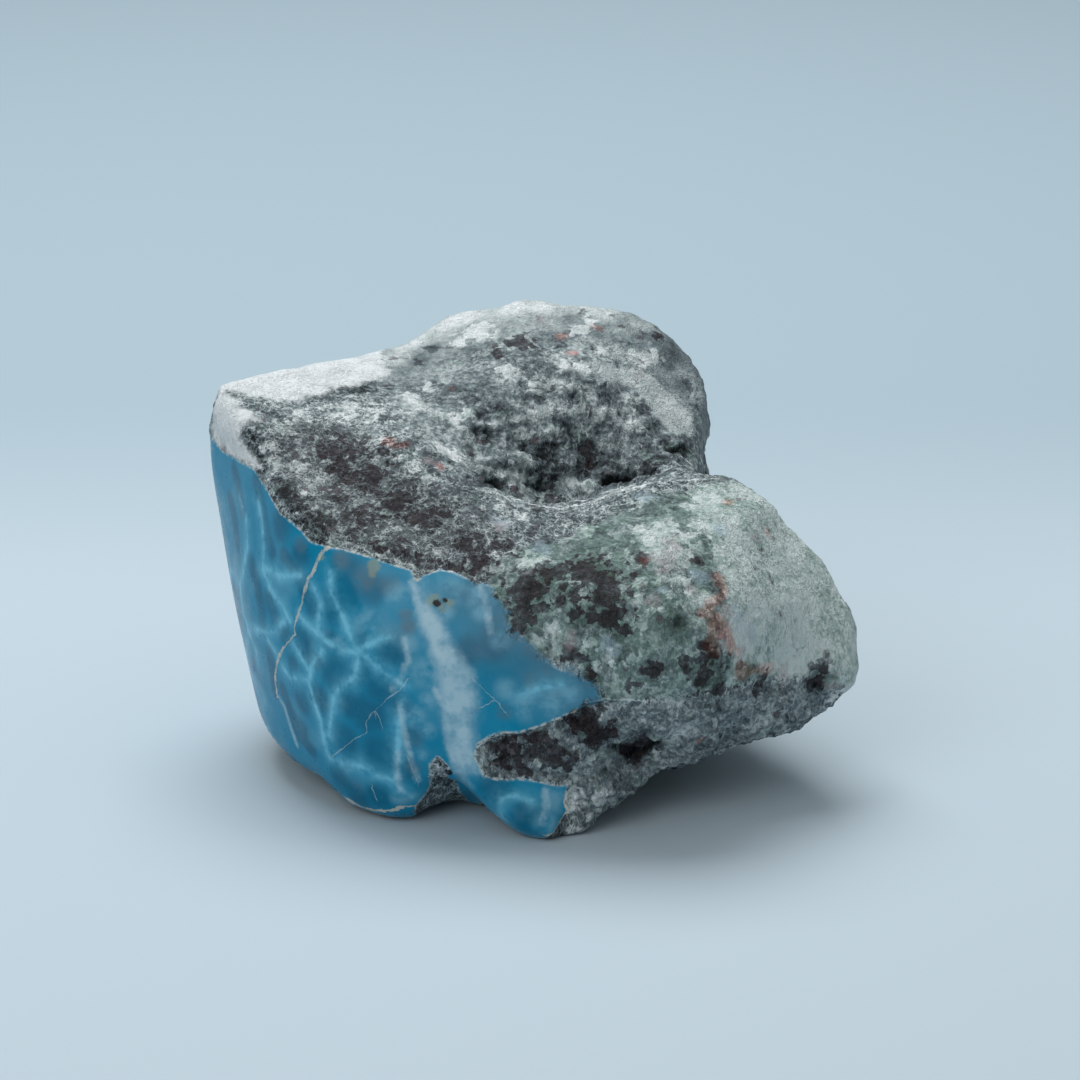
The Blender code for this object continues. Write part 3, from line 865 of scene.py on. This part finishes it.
def needle_felt():
    """Group of felted needles lying every way: how bright the needles are, from 0 between them to 1."""
    tree, given, out = new_group("needle felt", [("Place", None), ("Spacing", 0.001)], ["Needles"])
    wire = Wiring(tree)
    scale = wire.sum("DIVIDE", 1.0, given["Spacing"])
    swap = wire.clouds(given["Place"], wire.times(scale, 0.6), detail=1.0)
    shares = wire.channels(swap["Color"])
    needles = None
    for turn, part in zip(NEEDLE_TURNS, (*shares[:3], swap["Fac"])):
        laid = wire.node("ShaderNodeMapping", {
            "Vector": given["Place"], "Rotation": Euler(turn), "Scale": (1, 1, 1 / NEEDLE_STRETCH),
        }, vector_type="POINT").outputs[0]
        strands = wire.clouds(laid, scale, detail=1.0, roughness=0.6)["Fac"]
        off = wire.sum("ABSOLUTE", wire.sum("SUBTRACT", strands, 0.5))
        layer = wire.times(wire.rise(off, 0.01, 0.06, 1.0, 0.0), wire.rise(part, 0.42, 0.58, 0.15, 1.0))
        needles = layer if needles is None else wire.sum("MAXIMUM", needles, layer)
    tree.links.new(needles, out["Needles"])
    return tree


def drawn_line():
    """Group that turns distances to a line into a mask of the line's width, a little uneven."""
    tree, given, out = new_group("drawn line", [
        ("Side", 1.0), ("Gap", 1.0), ("Width", 0.2), ("Wobble", 0.1), ("Coarse", 0.5), ("Fine", 0.5),
    ], ["Mask"])
    wire = Wiring(tree)
    swing = wire.sum("MULTIPLY_ADD", wire.sum("SUBTRACT", given["Fine"], 0.5), given["Wobble"], given["Side"])
    half = wire.times(given["Width"], wire.rise(given["Coarse"], 0.3, 0.7, 0.2, 0.8))
    line = wire.sum("DIVIDE", wire.sum("SUBTRACT", half, wire.sum("ABSOLUTE", swing)), given["Width"])
    ends = wire.sum("LESS_THAN", given["Gap"], wire.sum("ADD", given["Width"], 0.4))
    tree.links.new(wire.times(wire.rise(line, -0.15, 0.2), ends), out["Mask"])
    return tree


class StoneMaterial:
    """The stone's material: polished blue and rock, told apart by the marks on the surface."""

    def __init__(self, sizes, colours):
        self.sizes = sizes
        self.tones = colours
        self.material = bpy.data.materials.new("larimar_in_rock")
        self.material.use_nodes = True
        self.shader = self.material.node_tree.nodes["Principled BSDF"]
        self.wire = Wiring(self.material.node_tree)
        self.place = self.wire.node("ShaderNodeTexCoord").outputs["Object"]
        self.fray = frayed_edge()
        self.felt = needle_felt()
        self.line = drawn_line()
        self.broad = self.wire.clouds(self.place, 1 / (6.0 * MM), detail=3.0)
        self.broad_parts = self.wire.channels(self.broad["Color"])
        self.coarse = self.wire.clouds(self.place, 1 / (2.2 * MM), detail=3.0, roughness=0.6)
        self.fine = self.wire.clouds(self.place, 1 / (0.6 * MM), detail=2.0, roughness=0.65)
        self.coarse_parts = self.wire.channels(self.coarse["Color"])
        self.fine_parts = self.wire.channels(self.fine["Color"])
        self.grains = self.wire.node("ShaderNodeTexVoronoi", {
            "Vector": self.wire.bent(self.place, self.fine["Color"], 0.9 * MM),
            "Scale": 1 / sizes.grain, "Randomness": 1.0,
        }, feature="F1").outputs
        self.grain_parts = self.wire.channels(self.grains["Color"])

    def edge(self, mark, fray, softness, part=0):
        """A mark's mask with a frayed edge; the fray and softness are in the mark's own units."""
        return self.wire.place(
            self.fray, depth=self.wire.mark(mark), coarse=self.coarse_parts[part],
            fine=self.fine_parts[part], fray=fray, softness=softness,
        )["Mask"]

    def shards(self, mark, fray, softness, part=0):
        """A mark's mask whose edge follows the rock's grains."""
        return self.wire.place(
            self.fray, depth=self.wire.mark(mark), coarse=self.coarse_parts[part],
            fine=self.grain_parts[part], fray=fray, softness=softness,
        )["Mask"]

    def drawn(self, mark, width, wobble):
        """A line's mask."""
        return self.wire.place(
            self.line, side=self.wire.mark(mark), gap=self.wire.mark(mark + "_gap"), width=width / MM,
            wobble=wobble, coarse=self.coarse_parts[1], fine=self.fine_parts[1],
        )["Mask"]

    def cells(self):
        """How far the blue is from the nearest seam in millimetres, and how deep its teal is."""
        wire = self.wire
        bent = wire.bent(self.place, self.broad["Color"], 6.0 * MM)
        cells = wire.node("ShaderNodeTexVoronoi", {
            "Vector": bent, "Scale": 1 / self.sizes.cell, "Randomness": 0.9,
        }, feature="DISTANCE_TO_EDGE").outputs["Distance"]
        unseen = wire.rise(wire.mark("facing"), 0.1, 0.35, 1.0, 0.0)
        unseen_gap = wire.times(cells, self.sizes.cell / MM)
        gap = wire.between(unseen, wire.mark("seams"), unseen_gap)
        gap = wire.sway(self.fine_parts[2], 0.5, 0.4, wire.sway(self.coarse_parts[2], 0.5, 1.2, gap))
        core = wire.between(
            unseen, wire.rise(wire.mark("cores"), -0.6, 0.5), wire.rise(unseen_gap, 1.0, 3.0),
        )
        return gap, wire.times(core, wire.rise(self.broad["Fac"], 0.3, 0.6, 0.6, 1.0))

    def blue_colour(self):
        """Cells of deep teal in pale seams, with milky and smoky patches, a white vein and cracks."""
        wire = self.wire
        tones = self.tones
        gap, core = self.cells()
        body = wire.blend(core, tones.blue, tones.core)
        body = wire.blend(wire.rise(self.broad["Fac"], 0.48, 0.7, 0.0, 0.25), body, tones.milk)
        smoke = wire.times(
            wire.rise(wire.mark("smoke"), -0.6, 0.6), wire.rise(self.coarse["Fac"], 0.3, 0.6, 0.3, 0.8),
        )
        fading = wire.rise(wire.mark("veil"), 0.0, 9.0, 0.6, 0.0)
        body = wire.blend(wire.sum("MAXIMUM", smoke, fading), body, tones.smoke)
        strength = wire.rise(self.coarse_parts[0], 0.35, 0.62, 0.35, 1.0)
        for reach, amount in ((6.0, 0.28), (2.8, 0.4), (1.1, 0.75)):
            halo = wire.rise(gap, 0.0, reach * self.sizes.seam / MM, amount, 0.0)
            body = wire.blend(wire.times(halo, strength), body, tones.seam)
        milk = wire.times(
            wire.rise(wire.mark("milk"), -0.5, 0.8), wire.rise(self.coarse["Fac"], 0.35, 0.6, 0.2, 0.8),
        )
        body = wire.blend(milk, body, tones.milk)
        streaks = wire.rise(self.coarse_parts[1], 0.3, 0.65, 0.35, 0.85)
        body = wire.blend(wire.times(self.edge("vein", 0.4, 1.0), streaks), body, tones.vein)
        wisp = wire.rise(wire.sway(self.fine_parts[1], 0.5, 0.6, wire.mark("wisps")), 0.0, 0.7, 0.6, 0.0)
        body = wire.blend(wire.times(wisp, strength), body, tones.vein)
        fine = self.drawn("fine", self.sizes.fine_crack, 0.5)
        body = wire.blend(wire.times(fine, 0.45), body, tones.vein)
        body = wire.blend(wire.times(self.edge("olive", 0.8, 0.6), 0.6), body, tones.olive)
        body = wire.blend(self.edge("dark_and_shade", 0.6, 0.3), body, tones.black)
        crack = self.drawn("crack", self.sizes.crack, 0.5)
        body = wire.blend(wire.times(crack, wire.rise(self.fine_parts[2], 0.35, 0.6, 0.4, 0.85)), body, tones.rim)
        # Rim where the blue meets the rock: partly cream, partly a painted highlight along the ledge there; broken
        # where the blue fades
        breaks = wire.times(wire.rise(self.fine_parts[0], 0.4, 0.6, 0.1, 0.85), wire.rise(wire.mark("veil"), 0.5, 2.5))
        rim = wire.rise(wire.mark("blue"), 0.1, self.sizes.rim / MM, 1.0, 0.0)
        rim = wire.sum("MAXIMUM", wire.times(rim, breaks), self.drawn("foot", self.sizes.foot_rim, 0.8))
        return wire.blend(rim, body, tones.rim), crack, fine

    def rock_grain(self, plain, scoop, calm):
        """How light the rock's grain is, swinging about 0, and how it stands out."""
        wire = self.wire
        needles = wire.place(self.felt, place=self.place, spacing=self.sizes.needle)["Needles"]
        shade = wire.sway(needles, 0.3, wire.rise(plain, 0.0, 1.0, 0.34, 0.08), 0.0)
        shade = wire.sway(self.grain_parts[0], 0.5, wire.rise(plain, 0.0, 1.0, 0.12, 0.22), shade)
        shade = wire.times(wire.sway(self.fine["Fac"], 0.5, 0.8, shade), calm)
        shade = wire.sway(self.coarse["Fac"], 0.5, 0.5, shade)
        shade = wire.sway(self.broad["Fac"], 0.5, 0.6, shade)
        folded = wire.node("ShaderNodeMapping", {"Vector": self.place, "Scale": FOLD_SQUEEZE}).outputs[0]
        folds = wire.clouds(folded, 1 / self.sizes.fold, detail=2.0, roughness=0.6)["Fac"]
        shade = wire.sway(folds, 0.5, wire.times(scoop, 1.3), shade)
        height = wire.sway(self.fine["Fac"], 0.5, 1.6, wire.times(needles, 0.6))
        height = wire.sway(folds, 0.5, wire.times(scoop, 5.0), height)
        height = wire.sway(self.grains["Distance"], 0.5, -0.6, height)
        return shade, height

    def rock_colour(self):
        """Felted needles and grains from black to bone, stained brown, green, red and lilac."""
        wire = self.wire
        tones = self.tones
        nose = self.edge("nose", 0.8, 0.8)
        unseen = wire.rise(wire.mark("facing"), -0.25, 0.0, 1.0, 0.0)
        far = wire.rise(wire.mark("facing"), -0.6, -0.05)
        side = wire.times(self.edge("nose_side", 1.0, 1.0, 1), far)
        lip = self.edge("lip", 0.4, 0.5)
        lobe = self.edge("lobe", 0.8, 0.8, 1)
        crest = wire.rise(wire.mark("crest"), 1.0, 12.0, 1.0, 0.0)
        still = wire.sum("MAXIMUM", lip, wire.sum("MAXIMUM", lobe, crest))
        still = wire.sum("MAXIMUM", still, wire.times(side, 0.2))
        scoop = self.edge("scoop", 1.2, 0.8)
        back = self.edge("back", 1.0, 2.0, 1)
        band = self.edge("band", 0.8, 0.5, 2)
        worn = wire.times(nose, wire.rise(side, 0.0, 1.0, 1.0, 0.4))
        plain = wire.sum("MAXIMUM", wire.sum("MAXIMUM", worn, wire.times(band, 0.85)), wire.times(back, 0.7))
        plain = wire.sum("MAXIMUM", plain, wire.times(unseen, 0.7))
        shade, height = self.rock_grain(plain, scoop, wire.rise(still, 0.0, 1.0, 1.0, 0.25))
        brown = self.shards("brown", 0.9, 0.2, 1)
        green = self.shards("green", 0.9, 0.5, 2)
        ground = self.edge("dark_ground", 1.2, 1.2, 2)
        for mask, amount in (
            # The scoop is painted darker: painted shade in the hollow
            (scoop, -0.1),
            (wire.times(unseen, wire.rise(self.broad_parts[1], 0.35, 0.6, -1.0, 1.0)), 0.1),
            # The back is painted lighter: painted light
            (back, 0.1),
            (ground, -0.05),
            # The band is painted lighter: painted light bounced up from the floor
            (band, 0.08),
            # Lighter and darker patches: partly the rock's own tone, partly painted light and painted shade
            (wire.rise(wire.mark("pale"), -0.5, 0.8), 0.12),
            (wire.rise(wire.mark("deep"), -0.5, 0.8), -0.14),
            (nose, 0.05),
            # The nose's right side: partly its own paler rock, partly painted light
            (side, 0.32),
            (lip, 0.22),
            (wire.rise(wire.mark("crest"), 0.3, 3.5, 1.0, 0.0), 0.3),
            (self.drawn("threads", 0.4 * MM, 0.8), 0.22),
            (brown, -0.26),
            (self.shards("cream", 0.8, 0.3, 2), 0.28),
            # Dark spots: stains and minerals, and a painted shadow under the white crust
            (self.shards("dark_and_shade", 0.9, 0.3), -0.24),
            # Pits and crevices painted darker: painted shade in them
            (self.edge("pits", 1.0, 0.6, 1), -0.2),
        ):
            shade = wire.sum("MULTIPLY_ADD", mask, amount, shade)
        body = wire.ramp(wire.sum("ADD", shade, 0.485), (
            (0.06, tones.black), (0.28, tones.slate), (0.52, tones.grey), (0.76, tones.bone),
            (0.98, tones.white),
        ))
        tinted = wire.times(nose, wire.rise(self.coarse_parts[2], 0.4, 0.6, 0.3, 0.9))
        tinted = wire.sum("MAXIMUM", wire.sum("MAXIMUM", green, tinted), wire.times(side, 0.8))
        mossy = wire.times(unseen, wire.rise(self.broad_parts[1], 0.42, 0.58))
        tinted = wire.times(wire.sum("MAXIMUM", tinted, mossy), wire.rise(brown, 0.0, 1.0, 1.0, 0.2))
        body = wire.blend(wire.times(tinted, 0.5), body, tones.green, how="SOFT_LIGHT")
        body = wire.blend(wire.times(tinted, 0.3), body, tones.green)
        speckled = wire.rise(self.fine_parts[1], 0.35, 0.6, 0.15, 0.55)
        stain = wire.sum("MAXIMUM", wire.times(brown, speckled), wire.times(ground, 0.22))
        earthy = wire.times(unseen, wire.rise(self.broad_parts[2], 0.5, 0.62, 0.0, 0.6))
        stain = wire.sum("MAXIMUM", stain, earthy)
        body = wire.blend(stain, body, tones.brown)
        for name, tone, amount, how in (
            ("bluish", tones.sky, 0.45, "MIX"), ("pink", tones.lilac, 0.4, "MIX"),
            ("red", tones.rust, 0.7, "SOFT_LIGHT"),
        ):
            body = wire.blend(wire.times(self.shards(name, 0.6, 0.5, 1), amount), body, tone, how)
        crust = wire.blend(wire.rise(self.coarse["Fac"], 0.35, 0.6, 0.35, 0.0), tones.white, tones.bone)
        body = wire.blend(self.edge("cap", 0.8, 0.7), body, crust)
        body = wire.blend(wire.times(self.edge("corner", 0.6, 0.8), 0.9), body, crust)
        return body, height

    def build(self):
        """Wires the blue and the rock into the shader."""
        wire = self.wire
        blue_colour, crack, fine = self.blue_colour()
        rock_colour, rock_height = self.rock_colour()
        sharp = wire.rise(wire.mark("veil"), 0.3, 2.0)
        polished = self.edge("blue", wire.between(sharp, 1.0, 0.22), wire.between(sharp, 0.6, 0.08))
        socket = self.shader.inputs
        wire.feed(socket["Base Color"], wire.blend(polished, rock_colour, blue_colour))
        satin = wire.rise(self.coarse["Fac"], 0.3, 0.7, 0.26, 0.4)
        dull = wire.rise(self.fine["Fac"], 0.3, 0.7, 0.6, 0.95)
        wire.feed(socket["Roughness"], wire.between(polished, dull, satin))
        wire.feed(socket["Coat Weight"], wire.times(polished, 0.15))
        wire.feed(socket["Coat Roughness"], 0.12)
        wire.feed(socket["Specular IOR Level"], 0.12)
        polish_height = wire.times(wire.sum("MAXIMUM", crack, fine), -0.35)
        polish_height = wire.sway(self.broad["Fac"], 0.5, 0.4, polish_height)
        wire.feed(socket["Normal"], wire.node("ShaderNodeBump", {
            "Height": wire.between(polished, rock_height, polish_height), "Distance": 0.16 * MM,
        }).outputs[0])
        return self.material


def object_from(ball, name, material):
    """A new object in the scene from a bmesh, with one material."""
    mesh = bpy.data.meshes.new(name)
    ball.to_mesh(mesh)
    ball.free()
    mesh.shade_smooth()
    mesh.materials.append(material)
    made = bpy.data.objects.new(name, mesh)
    bpy.context.scene.collection.objects.link(made)
    return made


def keep_marks(made, marks):
    """Writes the marks onto the object's vertices."""
    for name, values in marks.items():
        attribute = made.data.attributes.new(name, "FLOAT", "POINT")
        attribute.data.foreach_set("value", np.clip(values, -20, 20).astype(np.float32))


class LARIMAR_OT_stone(bpy.types.Operator):
    """Draws the stone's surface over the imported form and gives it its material"""

    bl_idname = "larimar.stone"
    bl_label = "Stone surface"

    def execute(self, context):
        sizes = context.scene.larimar_sizes
        form = Form(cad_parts[NODE])
        ball = blow_up(sizes, form)
        smooth(ball, ball.verts[:], sizes.soften)
        marks = marks_on(*places_of(ball), form, sizes)
        smooth(ball, [vert for vert, depth in zip(ball.verts, marks["blue"]) if depth > 0.4], sizes.polish)
        raise_relief(ball, sizes, marks)
        keep_in_box(ball)
        material = StoneMaterial(sizes, context.scene.larimar_colours).build()
        stone = object_from(ball, "stone_surface", material)
        keep_marks(stone, marks)
        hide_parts(NODE)
        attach(stone, "root")
        return {"FINISHED"}


def sweep():
    """A floor that curves up into a backdrop."""
    floor = bmesh.new()
    bmesh.ops.create_grid(floor, x_segments=1, y_segments=1, size=1.5)
    far = [edge for edge in floor.edges if all(vert.co.y > 1 for vert in edge.verts)]
    raised = bmesh.ops.extrude_edge_only(floor, edges=far)["geom"]
    lifted = [part for part in raised if isinstance(part, bmesh.types.BMVert)]
    bmesh.ops.translate(floor, verts=lifted, vec=(0, 0, 1.5))
    corner = [
        edge for edge in floor.edges if all(vert.co.z < 1e-6 and vert.co.y > 1 for vert in edge.verts)
    ]
    bmesh.ops.bevel(floor, geom=corner, offset=0.6, segments=24, profile=0.5, affect="EDGES", material=-1)
    bmesh.ops.recalc_face_normals(floor, faces=floor.faces[:])
    return floor


def floor_material(look):
    """A pale matt floor that is painted darker far behind the stone, as painted shade where less light reaches."""
    material = bpy.data.materials.new("pale_floor")
    material.use_nodes = True
    wire = Wiring(material.node_tree)
    shader = material.node_tree.nodes["Principled BSDF"].inputs
    place = wire.node("ShaderNodeTexCoord").outputs["Object"]
    depth = wire.node("ShaderNodeSeparateXYZ", {0: place}).outputs["Y"]
    # Painted shade: darker far behind the stone
    wire.feed(shader["Base Color"], wire.blend(wire.rise(depth, 0.05, 0.16), look.floor, look.far))
    wire.feed(shader["Roughness"], 0.9)
    wire.feed(shader["Specular IOR Level"], 0.2)
    return material


def area_light(name, place, size, power):
    """A soft square light that looks at the stone."""
    light = bpy.data.lights.new(name, "AREA")
    light.size = size
    light.energy = power
    made = bpy.data.objects.new(name, light)
    made.location = place
    made.rotation_euler = (VIEW_TARGET - Vector(place)).to_track_quat("-Z", "Y").to_euler()
    bpy.context.scene.collection.objects.link(made)


def soft_sky(strength):
    """Light from all round, brighter from above than from the sides."""
    world = bpy.data.worlds.new("soft_sky")
    world.use_nodes = True
    wire = Wiring(world.node_tree)
    height = wire.node("ShaderNodeSeparateXYZ", {
        0: wire.node("ShaderNodeTexCoord").outputs["Generated"],
    }).outputs["Z"]
    sky = world.node_tree.nodes["Background"].inputs
    wire.feed(sky["Color"], opaque(tint(240, 244, 248)))
    wire.feed(sky["Strength"], wire.times(wire.rise(height, -0.2, 0.9, 0.45, 1.6), strength))
    return world


class LARIMAR_OT_stage(bpy.types.Operator):
    """Lays the floor and sets the lights and the camera"""

    bl_idname = "larimar.stage"
    bl_label = "Stage"

    def execute(self, context):
        look = context.scene.larimar_stage
        object_from(sweep(), "floor", floor_material(look))
        area_light("overhead", (-0.07, 0.27, 0.64), 0.5, look.overhead)
        area_light("front_fill", (-0.35, -0.55, 0.42), 0.5, look.fill)
        context.scene.world = soft_sky(look.sky)
        context.scene.view_settings.view_transform = "Standard"
        camera = bpy.data.objects.new("camera", bpy.data.cameras.new("camera"))
        camera.data.lens = LENS
        camera.data.sensor_width = FILM
        camera.location = camera_place()
        camera.rotation_euler = view_axes()[2].to_track_quat("-Z", "Y").to_euler()
        context.scene.collection.objects.link(camera)
        context.scene.camera = camera
        return {"FINISHED"}


class LARIMAR_PT_panel(bpy.types.Panel):
    """Lists the stone's parts, sizes and colours"""

    bl_idname = "LARIMAR_PT_panel"
    bl_label = "Rough Larimar"
    bl_space_type = "VIEW_3D"
    bl_region_type = "UI"
    bl_category = "Larimar"

    def draw(self, context):
        for operator in (LARIMAR_OT_stone, LARIMAR_OT_stage):
            self.layout.operator(operator.bl_idname)
        for settings in (
            context.scene.larimar_sizes, context.scene.larimar_colours, context.scene.larimar_stage,
        ):
            box = self.layout.box()
            for name in settings.__annotations__:
                box.prop(settings, name)


CLASSES = (StoneSizes, StoneColours, StageLook, LARIMAR_OT_stone, LARIMAR_OT_stage, LARIMAR_PT_panel)


def register():
    """Makes the settings, operators and panel known."""
    for made in CLASSES:
        bpy.utils.register_class(made)
    bpy.types.Scene.larimar_sizes = PointerProperty(type=StoneSizes)
    bpy.types.Scene.larimar_colours = PointerProperty(type=StoneColours)
    bpy.types.Scene.larimar_stage = PointerProperty(type=StageLook)


def unregister():
    """Takes the settings, operators and panel away again."""
    del bpy.types.Scene.larimar_stage
    del bpy.types.Scene.larimar_colours
    del bpy.types.Scene.larimar_sizes
    for made in reversed(CLASSES):
        bpy.utils.unregister_class(made)


def main():
    """Builds the stone and its stage."""
    register()
    bpy.ops.larimar.stone()
    bpy.ops.larimar.stage()


if __name__ == "__main__":
    main()
